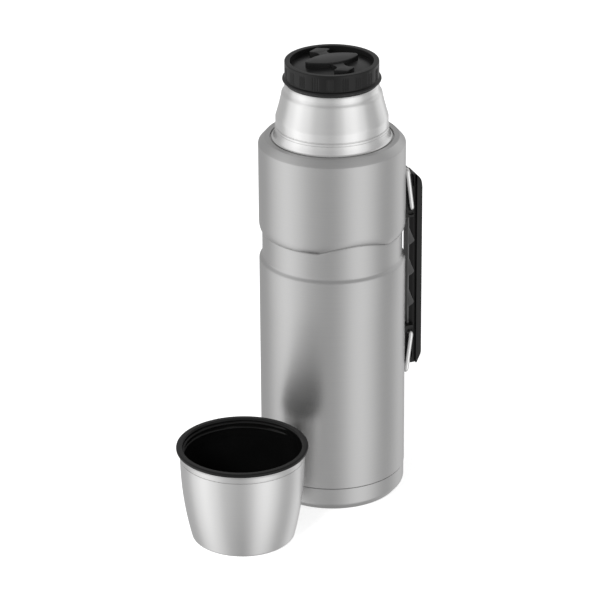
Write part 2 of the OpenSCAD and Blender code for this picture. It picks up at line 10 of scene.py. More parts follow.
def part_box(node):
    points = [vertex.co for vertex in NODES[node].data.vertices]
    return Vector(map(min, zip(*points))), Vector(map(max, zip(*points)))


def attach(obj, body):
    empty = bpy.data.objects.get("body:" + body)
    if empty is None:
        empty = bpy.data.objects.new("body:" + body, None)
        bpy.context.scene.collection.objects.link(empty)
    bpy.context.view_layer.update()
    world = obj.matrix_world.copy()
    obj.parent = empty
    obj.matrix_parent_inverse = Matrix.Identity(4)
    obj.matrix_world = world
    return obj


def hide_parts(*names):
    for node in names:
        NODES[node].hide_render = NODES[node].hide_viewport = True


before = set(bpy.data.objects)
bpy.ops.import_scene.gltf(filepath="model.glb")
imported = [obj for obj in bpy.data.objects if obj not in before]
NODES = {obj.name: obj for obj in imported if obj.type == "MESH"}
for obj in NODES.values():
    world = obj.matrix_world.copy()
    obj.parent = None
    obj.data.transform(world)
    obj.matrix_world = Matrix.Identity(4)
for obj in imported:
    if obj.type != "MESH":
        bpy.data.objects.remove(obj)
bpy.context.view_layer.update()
MM = 0.001
FRONT = -math.pi / 2


# ---------------------------------------------------------------- sizes, in millimetres

def corners(node):
    """A node's lowest and highest corners in millimetres."""
    low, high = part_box(node)
    return [v / MM for v in low], [v / MM for v in high]


barrel_hi = corners("outer_body")[1]
base_hi = corners("base_cap")[1]
neck_hi = corners("neck_shell")[1]
cap_lo, cap_hi = corners("stopper_cap")
insert_lo, insert_hi = corners("stopper_insert")
liner_lo, liner_hi = corners("cup_liner")
grip_lo, grip_hi = corners("grip_shell")
pad_lo = corners("grip_pad")[0]

BODY_R = barrel_hi[0]
SHOULDER_Z = barrel_hi[2]
BASE_H = base_hi[2]
BASE_R = base_hi[0]
MOUTH_Z = neck_hi[2]
NECK_R = neck_hi[0]
CUP_X = (liner_lo[0] + liner_hi[0]) / 2
CUP_Y = (liner_lo[1] + liner_hi[1]) / 2
CUP_H = liner_hi[2]
CUP_RIM_R = (liner_hi[0] - liner_lo[0]) / 2
CAP_Z, CAP_TOP = cap_lo[2], cap_hi[2]
FLANGE_R = cap_hi[0]
WALL = 0.8
BAND_Z = 198.0
BAND_FLAT = 17.6
BAND_R = BODY_R - 2.3
BAY_HALF = math.radians(30.5)
BAY_MIDDLE = FRONT - math.radians(1)
BAY_H = 5.2


# ---------------------------------------------------------------- mesh helpers

def fillet(points, steps=5):
    """Rounds each corner (r, z, radius) of a closed outline."""
    out = []
    for i, (r, z, radius) in enumerate(points):
        p = Vector((r, z))
        if radius <= 0:
            out.append((p.x, p.y))
            continue
        u = Vector(points[i - 1][:2]) - p
        v = Vector(points[(i + 1) % len(points)][:2]) - p
        cut = radius / max(math.tan(u.angle(v) / 2), 0.01)
        cut = min(cut, u.length * 0.48, v.length * 0.48)
        a, b = p + u.normalized() * cut, p + v.normalized() * cut
        for k in range(steps + 1):
            t = k / steps
            q = a * (1 - t) ** 2 + p * (2 * t * (1 - t)) + b * t * t
            out.append((q.x, q.y))
    return out


def finish_mesh(name, bm, angle=38):
    """Makes a smooth-shaded object of bm, with sharp edges where it turns by more than angle."""
    bmesh.ops.remove_doubles(bm, verts=bm.verts, dist=1e-7)
    bmesh.ops.recalc_face_normals(bm, faces=bm.faces)
    mesh = bpy.data.meshes.new(name)
    bm.to_mesh(mesh)
    bm.free()
    for face in mesh.polygons:
        face.use_smooth = True
    mesh.set_sharp_from_angle(angle=math.radians(angle))
    piece = bpy.data.objects.new(name, mesh)
    bpy.context.scene.collection.objects.link(piece)
    return piece


def lathe(name, outline, centre=(0, 0), segments=256, shape=None, angle=38):
    """Turns a closed outline of (r, z) about an upright axis; shape(r, z, a) may move a point."""
    bm = bmesh.new()
    rows = []
    for r, z in outline:
        row = []
        for k in range(segments if r > 1e-6 else 1):
            a = 2 * math.pi * (k + 0.5) / segments
            rr, zz = shape(r, z, a) if shape and r > 1e-6 else (r, z)
            x, y = centre[0] + rr * math.cos(a), centre[1] + rr * math.sin(a)
            row.append(bm.verts.new((x * MM, y * MM, zz * MM)))
        rows.append(row)
    for i, a in enumerate(rows):
        b = rows[(i + 1) % len(rows)]
        if len(a) == 1 and len(b) == 1:
            continue
        for k in range(segments):
            n = (k + 1) % segments
            ring = [a[k % len(a)], a[n % len(a)], b[n % len(b)], b[k % len(b)]]
            bm.faces.new(list(dict.fromkeys(ring)))
    return finish_mesh(name, bm, angle)


def prism(name, outline, low, high, axis="y", bevel=0.0, segments=3, keep=None):
    """Extrudes an outline along y or z; the rims that keep() accepts get a round bevel."""
    bm = bmesh.new()
    place = (lambda u, v, w: (u, w, v)) if axis == "y" else (lambda u, v, w: (u, v, w))
    rings = []
    for w in (low, high):
        rings.append([bm.verts.new(tuple(c * MM for c in place(u, v, w))) for u, v in outline])
    caps = [bm.faces.new(rings[0]), bm.faces.new(list(reversed(rings[1])))]
    for k in range(len(outline)):
        n = (k + 1) % len(outline)
        bm.faces.new([rings[0][n], rings[0][k], rings[1][k], rings[1][n]])
    bmesh.ops.recalc_face_normals(bm, faces=bm.faces)
    if bevel > 0:
        edges = [e for cap in caps for e in cap.edges]
        if keep:
            edges = [e for e in edges if all(keep(v.co / MM) for v in e.verts)]
        bmesh.ops.bevel(bm, geom=edges, offset=bevel * MM, segments=segments, profile=0.5,
                        affect="EDGES", clamp_overlap=True)
    return finish_mesh(name, bm)


def arc(cx, cy, r, a0, a1, steps=8):
    """Points of a circular arc, angles in degrees."""
    turn = [math.radians(a0 + (a1 - a0) * k / steps) for k in range(steps + 1)]
    return [(cx + r * math.cos(a), cy + r * math.sin(a)) for a in turn]


def baked(piece):
    """Applies a piece's modifiers to its mesh."""
    graph = bpy.context.evaluated_depsgraph_get()
    mesh = bpy.data.meshes.new_from_object(piece.evaluated_get(graph))
    piece.modifiers.clear()
    piece.data = mesh
    return piece


def carve(piece, cutters):
    """Cuts the cutters out of a piece and removes them."""
    for cutter in cutters:
        cut = piece.modifiers.new("cut", "BOOLEAN")
        cut.operation, cut.solver, cut.object = "DIFFERENCE", "EXACT", cutter
    baked(piece)
    for cutter in cutters:
        bpy.data.objects.remove(cutter)
    return piece


def soften(piece, width, segments=3, limit=35, angle=40):
    """Rounds a piece's crisp edges."""
    edge = piece.modifiers.new("edges", "BEVEL")
    edge.width, edge.segments, edge.limit_method = width * MM, segments, "ANGLE"
    edge.angle_limit = math.radians(limit)
    edge.use_clamp_overlap = True
    baked(piece)
    for face in piece.data.polygons:
        face.use_smooth = True
    piece.data.set_sharp_from_angle(angle=math.radians(angle))
    return piece


def joined(name, pieces):
    """One object of several closed pieces."""
    bm = bmesh.new()
    for piece in pieces:
        bm.from_mesh(piece.data)
        bpy.data.objects.remove(piece)
    return finish_mesh(name, bm)


def wire(name, path, radius, bend, sides=24):
    """A round wire along path, with round bends at its inner points and rounded ends."""
    points = [Vector(path[0])]
    for i in range(1, len(path) - 1):
        p = Vector(path[i])
        u, v = Vector(path[i - 1]) - p, Vector(path[i + 1]) - p
        cut = min(bend / math.tan(u.angle(v) / 2), u.length * 0.45, v.length * 0.45)
        a, b = p + u.normalized() * cut, p + v.normalized() * cut
        for k in range(9):
            t = k / 8
            points.append(a * (1 - t) ** 2 + p * (2 * t * (1 - t)) + b * t * t)
    points.append(Vector(path[-1]))
    bm = bmesh.new()
    normal = None
    rings = []
    for i, p in enumerate(points):
        ahead = points[min(i + 1, len(points) - 1)] - points[max(i - 1, 0)]
        ahead.normalize()
        if normal is None:
            normal = ahead.orthogonal().normalized()
        normal = (normal - ahead * normal.dot(ahead)).normalized()
        side = ahead.cross(normal)
        offsets = [(0, 1)]
        if i == 0:
            offsets = [(-0.5, 0.45), (-0.25, 0.8), (0, 1)]
        if i == len(points) - 1:
            offsets = [(0, 1), (0.25, 0.8), (0.5, 0.45)]
        for along, scale in offsets:
            ring = []
            for k in range(sides):
                t = 2 * math.pi * k / sides
                spread = normal * math.cos(t) + side * math.sin(t)
                q = p + ahead * (along * radius * 0.5) + spread * (radius * scale)
                ring.append(bm.verts.new(q * MM))
            rings.append(ring)
    for a, b in zip(rings, rings[1:]):
        for k in range(sides):
            n = (k + 1) % sides
            bm.faces.new([a[k], a[n], b[n], b[k]])
    bm.faces.new(list(reversed(rings[0])))
    bm.faces.new(rings[-1])
    return finish_mesh(name, bm, 60)


# ---------------------------------------------------------------- materials

class Shader:
    """A small wrapper that builds one Principled material."""

    def __init__(self, name):
        self.material = bpy.data.materials.new(name)
        self.material.use_nodes = True
        self.tree = self.material.node_tree
        self.bsdf = self.tree.nodes["Principled BSDF"]

    def node(self, kind, **values):
        made = self.tree.nodes.new(kind)
        for key, value in values.items():
            if key in made.inputs:
                made.inputs[key].default_value = value
            else:
                setattr(made, key, value)
        return made

    def link(self, a, b):
        self.tree.links.new(a, b)

    def noise(self, scale, size=1.0, detail=3.0, rough=0.55):
        """Noise over object coordinates stretched by scale (x, y, z)."""
        where = self.node("ShaderNodeTexCoord")
        stretch = self.node("ShaderNodeMapping")
        stretch.inputs["Scale"].default_value = scale
        grain = self.node("ShaderNodeTexNoise", Scale=size, Detail=detail, Roughness=rough)
        self.link(where.outputs["Object"], stretch.inputs["Vector"])
        self.link(stretch.outputs["Vector"], grain.inputs["Vector"])
        return grain.outputs["Fac"]

    def colours(self, fac, stops):
        ramp = self.node("ShaderNodeValToRGB")
        for i, (at, value) in enumerate(stops):
            stop = ramp.color_ramp.elements[i] if i < 2 else ramp.color_ramp.elements.new(at)
            stop.position = at
            stop.color = (*value, 1.0)
        self.link(fac, ramp.inputs["Fac"])
        return ramp.outputs["Color"]

    def spread(self, fac, low, high):
        span = self.node("ShaderNodeMapRange")
        span.inputs["From Min"].default_value = 0.3
        span.inputs["From Max"].default_value = 0.7
        span.inputs["To Min"].default_value = low
        span.inputs["To Max"].default_value = high
        self.link(fac, span.inputs["Value"])
        return span.outputs["Result"]

    def bump(self, height, strength, distance):
        ridge = self.node("ShaderNodeBump", Strength=strength, Distance=distance * MM)
        self.link(height, ridge.inputs["Height"])
        self.link(ridge.outputs["Normal"], self.bsdf.inputs["Normal"])


def grey(v, warm=0.0):
    return (v * (1 + warm), v, v * (1 - warm))


def steel(name, tone, rough, stretch, bump=0.05, aniso=0.5, spread=0.03, warm=0.003):
    """Brushed or spun steel: fine lines along the low values of stretch."""
    s = Shader(name)
    lines = s.noise(stretch, 1.0, 4.0, 0.6)
    cloud = s.noise((18, 18, 12), 1.0, 2.0)
    mixed = s.node("ShaderNodeMath", operation="MULTIPLY_ADD")
    s.link(cloud, mixed.inputs[0])
    mixed.inputs[1].default_value = 0.35
    mixed.inputs[2].default_value = -0.175
    total = s.node("ShaderNodeMath", operation="ADD")
    s.link(mixed.outputs[0], total.inputs[0])
    s.link(lines, total.inputs[1])
    colour = s.colours(total.outputs[0], [(0.25, grey(tone * (1 - spread), warm)),
                                          (0.75, grey(tone * (1 + spread), warm))])
    s.link(colour, s.bsdf.inputs["Base Color"])
    s.link(s.spread(total.outputs[0], rough - 0.03, rough + 0.03), s.bsdf.inputs["Roughness"])
    s.bsdf.inputs["Metallic"].default_value = 1.0
    if aniso:
        s.bsdf.inputs["Anisotropic"].default_value = aniso
        s.bsdf.inputs["Anisotropic Rotation"].default_value = 0.25
        tangent = s.node("ShaderNodeTangent", direction_type="RADIAL", axis="Z")
        s.link(tangent.outputs["Tangent"], s.bsdf.inputs["Tangent"])
    s.bump(lines, bump, 0.05)
    return s.material


def plastic(name, tone, rough, grain=900.0, bump=0.08, spread=0.12, warm=0.0, specular=0.5):
    """Moulded plastic or rubber with a fine texture and a little wear in its gloss."""
    s = Shader(name)
    fine = s.noise((grain, grain, grain), 1.0, 3.0)
    cloud = s.noise((35, 35, 35), 1.0, 3.0)
    colour = s.colours(cloud, [(0.3, grey(tone * (1 - spread), warm)),
                               (0.7, grey(tone * (1 + spread), warm))])
    s.link(colour, s.bsdf.inputs["Base Color"])
    s.link(s.spread(cloud, rough - 0.05, rough + 0.05), s.bsdf.inputs["Roughness"])
    s.bsdf.inputs["Specular IOR Level"].default_value = specular
    s.bump(fine, bump, 0.06)
    return s.material


def foam(name):
    s = Shader(name)
    cells = s.noise((700, 700, 700), 1.0, 2.0)
    s.link(s.colours(cells, [(0.3, (0.66, 0.65, 0.6)), (0.7, (0.8, 0.79, 0.75))]),
           s.bsdf.inputs["Base Color"])
    s.bsdf.inputs["Roughness"].default_value = 0.9
    s.bump(cells, 0.5, 0.4)
    return s.material


ROUND = (22, 22, 2600)
SATIN = steel("satin_steel", 0.55, 0.40, ROUND, bump=0.06, aniso=0.45, spread=0.035)
BASE = steel("satin_base", 0.55, 0.40, ROUND, bump=0.06, aniso=0.0, spread=0.03)
BRIGHT = steel("bright_steel", 0.80, 0.24, ROUND, bump=0.006, aniso=0.3, spread=0.012)
CUP = steel("cup_steel", 0.72, 0.32, ROUND, bump=0.012, aniso=0.4, spread=0.018)
INNER = steel("inner_steel", 0.62, 0.30, ROUND, bump=0.05, aniso=0.3)
WIRE = steel("wire_steel", 0.88, 0.22, (900, 900, 60), bump=0.03, aniso=0.0, spread=0.02)
SCREW = steel("screw_steel", 0.7, 0.3, (60, 900, 900), bump=0.05, aniso=0.0)
FOIL = steel("foil", 0.75, 0.22, (220, 220, 220), bump=0.5, aniso=0.0, spread=0.06)
GETTER = steel("getter_grey", 0.32, 0.5, (500, 500, 500), bump=0.2, aniso=0.0, spread=0.2)
BRACKET = plastic("dark_metal", 0.06, 0.42, 1200.0, bump=0.05, specular=0.6)
GRIP = plastic("grip_black", 0.008, 0.42, 1500.0, bump=0.10, specular=0.35)
# The pad's own dark plastic is raised to a mid grey tone: painted light on its inner face and fins,
# standing in for light the lamps don't bring there.
PAD_PAINTED_LIGHT = plastic("pad_black", 0.19, 0.62, 1300.0, bump=0.14)
STOPPER = plastic("stopper_black", 0.006, 0.36, 1500.0, bump=0.08, specular=0.3)
INSERT = plastic("insert_black", 0.007, 0.34, 1500.0, bump=0.06, specular=0.4)
LINER = plastic("liner_black", 0.003, 0.36, 1500.0, bump=0.05, specular=0.28)
# The grey seals are coloured near-black: painted shade for the shadowed gap between the stopper's flange
# and the neck.
SEAL_PAINTED_SHADE = plastic("seal_grey", 0.016, 0.6, 800.0, bump=0.05)
FOAM = foam("foam_white")


def dress(piece, material):
    piece.data.materials.clear()
    piece.data.materials.append(material)


def fit(piece, body, material, slot, *nodes):
    """Puts a made piece on its body, with its material, in place of CAD nodes."""
    dress(piece, material)
    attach(piece, body)
    if nodes:
        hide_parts(*nodes)
    return piece


# ---------------------------------------------------------------- flask

def bay(a):
    """How far the arched bay lifts the band's upper edge at angle a."""
    off = (a - BAY_MIDDLE + math.pi) % (2 * math.pi) - math.pi
    u = min(abs(off) / BAY_HALF, 1)
    return BAY_H * (1 - u * u)


def barrel():
    """The barrel, with the recessed band and the bay in its upper edge."""
    low = BAND_Z - BAND_FLAT / 2
    edge = BAND_Z + BAND_FLAT / 2 + 2.2
    skirt = BASE_R - WALL
    upper = [(BAND_R, edge - 6, 0), (BAND_R, edge - 3, 0), (BAND_R, edge - 1.3, 0),
             (BAND_R - 0.12, edge - 1.0, 0), (BAND_R - 0.9, edge - 0.1, 0), (BAND_R + 0.4, edge, 0),
             (BAND_R + 0.9, edge + 0.35, 0), (BAND_R + 1.35, edge + 1.2, 0),
             (BAND_R + 1.8, edge + 2.6, 0), (BAND_R + 2.15, edge + 4.4, 0),
             (BODY_R, edge + 6.6, 0), (BODY_R, edge + 9, 0), (BODY_R, edge + 12, 0),
             (BODY_R, edge + 15, 0)]
    lower = []
    for k in range(15):
        t = k / 14
        lower.append((BODY_R - 2.3 * (0.25 * t + 0.75 * t * t * (3 - 2 * t)), low - 3.6 + 3.2 * t, 0))
    lower += [(BAND_R, low + 0.2, 0), (BAND_R, low + 1.5, 0)]
    outline = fillet(
        [(skirt, BASE_H - 4, 0), (skirt, BASE_H + 0.05, 0), (BODY_R, BASE_H + 0.25, 0.25), (BODY_R, 60, 0),
         (BODY_R, 110, 0), (BODY_R, 150, 0)] + lower + upper
        + [(BODY_R, 250, 0), (BODY_R, SHOULDER_Z - 5.2, 1.3),
           (BODY_R - 4.6, SHOULDER_Z, 0.5), (NECK_R + 1.0, SHOULDER_Z, 0.4),
           (NECK_R + 0.7, SHOULDER_Z - 1.8, 0), (NECK_R - 0.4, SHOULDER_Z - 1.9, 0),
           (NECK_R - 0.4, SHOULDER_Z - 2.6, 0), (BODY_R - 5.4, SHOULDER_Z - 2.6, 0),
           (BODY_R - 1, SHOULDER_Z - 7.5, 0), (BAND_R - 1.6, 222, 0), (BAND_R - 1.6, 180, 0),
           (BODY_R - 1.2, 176, 0), (BODY_R - 1.2, BASE_H + 3, 0), (skirt - WALL, BASE_H, 0),
           (skirt - WALL, BASE_H - 4, 0)])

    def shape(r, z, a):
        if r > BAND_R - 1.2 and edge - 6 < z < edge + 20:
            fade = min(1, (z - edge + 6) / 3, (edge + 20 - z) / 16)
            return r, z + bay(a) * fade
        return r, z

    return lathe("flask_barrel", outline, segments=360, shape=shape, angle=30)


fit(barrel(), "flask", SATIN, "satin_steel", "outer_body")

base = lathe("flask_base", fillet(
    [(0, 0.9, 0), (30, 0.9, 1), (34, 0.0, 1), (BASE_R - 4.5, 0, 2.6), (BASE_R, 5.4, 4.0), (BASE_R, 12, 0),
     (BASE_R, BASE_H - 0.45, 0.25), (BASE_R - 0.75, BASE_H - 0.5, 0.1), (BASE_R - 0.75, 9, 2),
     (BASE_R - 6, 1.8, 2), (0, 1.8, 0)], 8), segments=256)
fit(base, "flask", SATIN, "satin_steel", "base_cap")


def neck():
    """The neck, from its concave foot and bead up the cone to the lip."""
    foot, low, top = NECK_R, NECK_R - 3.2, NECK_R - 7.7
    bead, cone, lip = SHOULDER_Z + 7.1, SHOULDER_Z + 15.4, SHOULDER_Z + 33.6
    points = []
    for k in range(9):
        t = math.radians(90 * k / 8)
        points.append((foot - 0.35 - 2.35 * math.sin(t), bead - 0.7 - 6.6 * math.cos(t), 0))
    points += [(low + 0.1, bead - 0.45, 0), (low + 0.1, bead - 0.1, 0), (low + 0.5, bead + 0.1, 0.1),
               (low + 0.5, bead + 1.2, 0.2), (low - 0.45, bead + 1.45, 0.05),
               (low - 0.45, bead + 1.85, 0.05), (low, bead + 2.2, 0.15)]
    points += [(low, bead + 4.2, 0), (low, cone - 0.5, 0), (low, cone, 0)]
    for k in range(1, 13):
        u = k / 12
        points.append((top + (low - top) * (1 - u) ** 1.2, cone + (lip - cone) * u, 0))
    points += [(top - 0.15, lip + 0.35, 0), (top - 0.85, lip + 1.3, 0), (top - 1.65, lip + 2.4, 0),
               (top - 2.0, lip + 3.1, 0), (top - 2.1, lip + 4.2, 0), (top - 2.15, lip + 5.4, 0),
               (top - 2.3, lip + 6.6, 0.6), (top - 3.1, MOUTH_Z + 0.6, 0.6), (32.4, MOUTH_Z + 0.6, 0.3),
               (32.4, lip, 0), (top - 2.1, lip - 2, 0)]
    points += [(low - 1.3, cone, 0), (low - 1.3, bead, 0), (foot - 1.3, SHOULDER_Z - 1.8, 0),
               (foot - 0.35, SHOULDER_Z - 1.8, 0)]
    return lathe("flask_neck", fillet(points), segments=256)


fit(neck(), "flask", BRIGHT, "bright_steel", "neck_shell")


# ---------------------------------------------------------------- stopper

def stopper_cap():
    side = FLANGE_R - 1.7
    flange = CAP_Z + 2.4
    recess_r = side - 4.0
    floor_z = insert_lo[2]
    groove_lo, groove_hi = flange + 1.9, CAP_TOP - 2.2
    points = [(0, floor_z - 2.6, 0), (29.8, floor_z - 2.6, 0), (29.8, CAP_Z + 2.2, 0),
              (31.2, CAP_Z + 2.2, 0), (31.4, CAP_Z + 1.7, 0), (34.4, CAP_Z + 1.6, 0.4),
              (35.5, CAP_Z + 1.7, 0.6), (FLANGE_R, CAP_Z + 2.4, 0.8), (FLANGE_R - 0.1, flange + 1.0, 0.8),
              (side, flange + 1.5, 0.4)]
    points += [(side, groove_lo + (groove_hi - groove_lo) * k / 12, 0) for k in range(13)]
    points += [(side, CAP_TOP - 1.2, 0), (side, CAP_TOP, 0.9), (recess_r, CAP_TOP, 0.5),
               (recess_r, floor_z + 0.4, 0.2), (recess_r, floor_z, 0), (0, floor_z, 0)]

    def shape(r, z, a):
        if side - 0.05 < r < side + 0.05 and groove_lo - 0.01 < z < groove_hi + 0.01:
            turn = (math.degrees(a) - 247.4 + 9) % 18 - 9
            dent = max(max(0, 1 - ((turn - at) / 1.05) ** 2) for at in (-3, 0, 3))
            ease = min(1, (z - groove_lo) / 0.8, (groove_hi - z) / 0.8)
            return r - 0.4 * dent * max(0, ease), z
        return r, z

    return lathe("stopper_body", fillet(points), segments=720, shape=shape, angle=44)


fit(stopper_cap(), "stopper", STOPPER, "stopper_black", "stopper_cap")


def stopper_insert():
    disc_r = FLANGE_R - 1.15 - 4.6
    floor_z, top = insert_lo[2], insert_hi[2]
    rest = floor_z + 0.7
    rise = 2.8
    outline = [(0, floor_z, 0), (disc_r, floor_z, 0)]
    outline += [(disc_r * (1 - k / 10), rest + rise * (1 - (1 - k / 10) ** 2), 0) for k in range(11)]
    disc = lathe("insert_disc", fillet(outline[:-1] + [(0, rest + rise, 0)]), segments=192)
    half_l, half_w, clip = 20.4, 9.5, 1.2
    reach = half_l + clip
    radius = (reach * reach + half_w * half_w) / (2 * half_w)
    plate = []
    for sign in (-1, 1):
        for k in range(25):
            x = sign * half_l * (-1 + 2 * k / 24)
            y = sign * (-radius + half_w) + sign * math.sqrt(radius * radius - x * x)
            plate.append((x, -y))
    bar = prism("insert_bar", plate, rest, top, axis="z", bevel=0.55, segments=4,
                keep=lambda c: c.z > top - 0.1)
    head, neck_y, tip = 8.0, 20.8, 26.3
    arrows = []
    for sign in (-1, 1):
        half = [(5.2, 0), (5.2, 8), (4.3, 11), (3.7, 14), (3.8, 16.5), (5.0, 18.6), (head, neck_y),
                (head - 0.4, neck_y + 1.0), (0.7, tip)]
        shape = [(-x, sign * y) for x, y in half] + [(x, sign * y) for x, y in reversed(half)]
        arrows.append(prism("insert_arrow", shape, rest - 0.2, top - 1.1, axis="z", bevel=0.35,
                            segments=3, keep=lambda c: c.z > top - 1.2))
    plate = joined("stopper_plate", [disc, bar] + arrows)
    plate.data.transform(Matrix.Rotation(math.radians(4.5), 4, "Z"))
    return plate


fit(stopper_insert(), "stopper", INSERT, "insert_black", "stopper_insert")


# ---------------------------------------------------------------- cup

CUP_TOP_R = 45.7
CUP_FOOT_R = 37.6
COLLAR_TOP = CUP_H - 2.6
COLLAR_Z = COLLAR_TOP - 6.3


def cup_side(z):
    return CUP_FOOT_R + (CUP_TOP_R - CUP_FOOT_R) * (1 - (1 - min(z / COLLAR_Z, 1)) ** 2)


def cup_shell():
    wall = 0.7
    foot = cup_side(2.4)
    points = [(0, 0.8, 0), (foot - 8, 0.8, 1), (foot - 7, 0, 0.4), (foot - 2.2, 0, 1.4),
              (foot - 0.25, 1.3, 1.6)]
    points += [(cup_side(z), z, 0) for z in [2.8 + (COLLAR_Z - 2.8) * k / 16 for k in range(17)]]
    lip = CUP_RIM_R - 0.6
    points += [(CUP_TOP_R - 0.5, COLLAR_Z + 0.15, 0.05), (CUP_TOP_R - 0.5, COLLAR_Z + 0.65, 0.05),
               (CUP_TOP_R + 0.3, COLLAR_Z + 0.85, 0.1),
               (CUP_TOP_R + 0.5, COLLAR_TOP - 1.1, 0.4), (lip, COLLAR_TOP - 0.4, 0.1),
               (lip, COLLAR_TOP - 0.05, 0.1),
               (lip - wall, COLLAR_TOP - 0.05, 0), (CUP_TOP_R - 0.7, COLLAR_Z + 1.8, 0)]
    points += [(cup_side(z) - wall, z, 0) for z in [COLLAR_Z - 0.5, 50, 35, 20, 8, 3]]
    points += [(foot - 3, 1.5, 0), (0, 1.5, 0)]
    return lathe("cup_body", fillet(points, 4), (CUP_X, CUP_Y), 256)


fit(cup_shell(), "cup", CUP, "bright_steel", "cup_shell")


def cup_liner():
    gap, wall = 0.9, 1.3
    inner = CUP_TOP_R - gap - wall
    pitch, start = 3.9, CUP_H - 3.1
    rows = [(cup_side(z) - gap, z, 0) for z in [3.2, 10, 25, 40, 55, COLLAR_Z]]
    points = [(0, 2.1, 0), (cup_side(2) - gap - 1.5, 2.1, 1)] + rows
    points += [(CUP_TOP_R - gap, COLLAR_TOP, 0), (CUP_RIM_R - 0.5, COLLAR_TOP, 0.2),
               (CUP_RIM_R, COLLAR_TOP + 0.7, 0.5), (CUP_RIM_R, CUP_H - 0.3, 0.7),
               (CUP_RIM_R - 1.2, CUP_H, 0.6), (inner + 0.9, CUP_H, 0.5), (inner, CUP_H - 1.0, 0.5)]
    steps = 60
    points += [(inner, CUP_H - 1.6 - 14 * k / steps, 0) for k in range(steps + 1)]
    points += [(cup_side(z) - gap - wall, z, 0) for z in [55, 45, 35, 25, 15, 8]]
    points += [(cup_side(4) - gap - wall - 0.5, 4.6, 1.5), (0, 3.9, 0)]

    def shape(r, z, a):
        if abs(r - inner) < 0.02 and z < CUP_H - 1.5:
            turn = (math.degrees(a) - 20) % 360
            ends = max(0, min(1, turn / 12, (265 - turn) / 12))
            for lap in (0, 1):
                ridge = (z - (start - lap * pitch - turn / 360 * pitch * 0.5)) / 0.9
                if abs(ridge) < 1:
                    r -= 1.0 * ends * (1 - ridge * ridge)
        return r, z

    return lathe("cup_lining", fillet(points, 4), (CUP_X, CUP_Y), 256, shape)


fit(cup_liner(), "cup", LINER, "liner_black", "cup_liner")


# ---------------------------------------------------------------- handle

PIN_X = BODY_R + 2.1
BAR_X = BODY_R + 6.0
WIRE_R = 1.85
RIDGE_PITCH = 25.1
HEAD_RISE = 1.6
HEAD_DROP = 10.5
LEG_Y = 8.4
GRIP_Z = (grip_lo[2] + grip_hi[2]) / 2
HALF_W = grip_hi[1]
IN_X, PART_X, OUT_X = pad_lo[0], grip_lo[0], grip_hi[0]
PIN_SPREAD, BAR_SPREAD = 81.2, 50.4


def bail(name, side):
    pin_z, bar_z = GRIP_Z + side * PIN_SPREAD, GRIP_Z + side * BAR_SPREAD
    path = [(PIN_X, 2.2, pin_z), (PIN_X, LEG_Y, pin_z), (BAR_X, LEG_Y, bar_z),
            (BAR_X, -LEG_Y, bar_z), (PIN_X, -LEG_Y, pin_z), (PIN_X, -2.2, pin_z)]
    return wire(name, path, WIRE_R, 2.6)


fit(bail("bail_upper", 1), "upper_bail", WIRE, "wire_steel", "upper_bail")
fit(bail("bail_lower", -1), "lower_bail", WIRE, "wire_steel", "lower_bail")


def bracket(name, side):
    """A folded steel lug round the bail's pins, its back on the barrel."""
    z = GRIP_Z + side * PIN_SPREAD
    outline = [(BODY_R - 0.3, z - 2.1), (PIN_X, z - 2.35)]
    outline += arc(PIN_X, z, 2.35, -80, 80, 10) + [(PIN_X, z + 2.35), (BODY_R - 0.3, z + 2.1)]
    return prism(name, outline, -5.4, 5.4, bevel=0.3, segments=3)


fit(bracket("bracket_upper", 1), "flask", BRACKET, "dark_metal", "upper_bracket")
fit(bracket("bracket_lower", -1), "flask", BRACKET, "dark_metal", "lower_bracket")


def pockets():
    """Cutters for the leg pockets at both ends, on both sides."""
    cutters = []
    for side in (-1, 1):
        end = GRIP_Z + side * (BAR_SPREAD - 4.8 + 3.6)
        far = GRIP_Z + side * 90
        for flank in (-1, 1):
            curve = arc(59.4, end, 3.6, 0, -180 * side, 12)
            outline = [(59.9 if side > 0 else 63.0, far)] + curve + [(50, end), (50, far)]
            low, high = sorted((flank * 6.4, flank * 14))
            cutters.append(prism("cutter", outline, low, high))
    return cutters


def head_curve(x0, x1):
    """The rounded top of the grip from x1 back to x0."""
    steps = 14
    out = []
    for k in range(steps + 1):
        x = x1 + (x0 - x1) * k / steps
        u = max(0.0, (x - 59.5) / (OUT_X - 59.5))
        out.append((x, grip_hi[2] + HEAD_RISE - HEAD_DROP * (1 - max(0.0, 1 - u ** 2.4) ** (1 / 2.1))))
    return out


def grip_shell():
    """The grip's outer half, with the leg pockets cut out."""
    lo = grip_lo[2]
    outline = [(PART_X, lo), (OUT_X - 4.6, lo), (OUT_X - 3.4, lo + 0.7), (OUT_X - 0.4, lo + 7.2),
               (OUT_X, lo + 9)] + head_curve(PART_X, OUT_X)
    slab = prism("grip_back", outline, -HALF_W, HALF_W, bevel=2.0, segments=6,
                 keep=lambda c: c.x > PART_X + 0.3)
    cutters = pockets()
    for low, high in ((6.2, 14), (-14, -6.2)):
        cutters.append(prism("cutter", [(PART_X - 1, lo - 5), (PART_X + 2.3, lo - 5),
                                        (PART_X + 2.3, grip_hi[2] + 5), (PART_X - 1, grip_hi[2] + 5)],
                             low, high))
    return soften(carve(slab, cutters), 0.3, 3)


fit(grip_shell(), "grip", GRIP, "grip_black", "grip_shell")


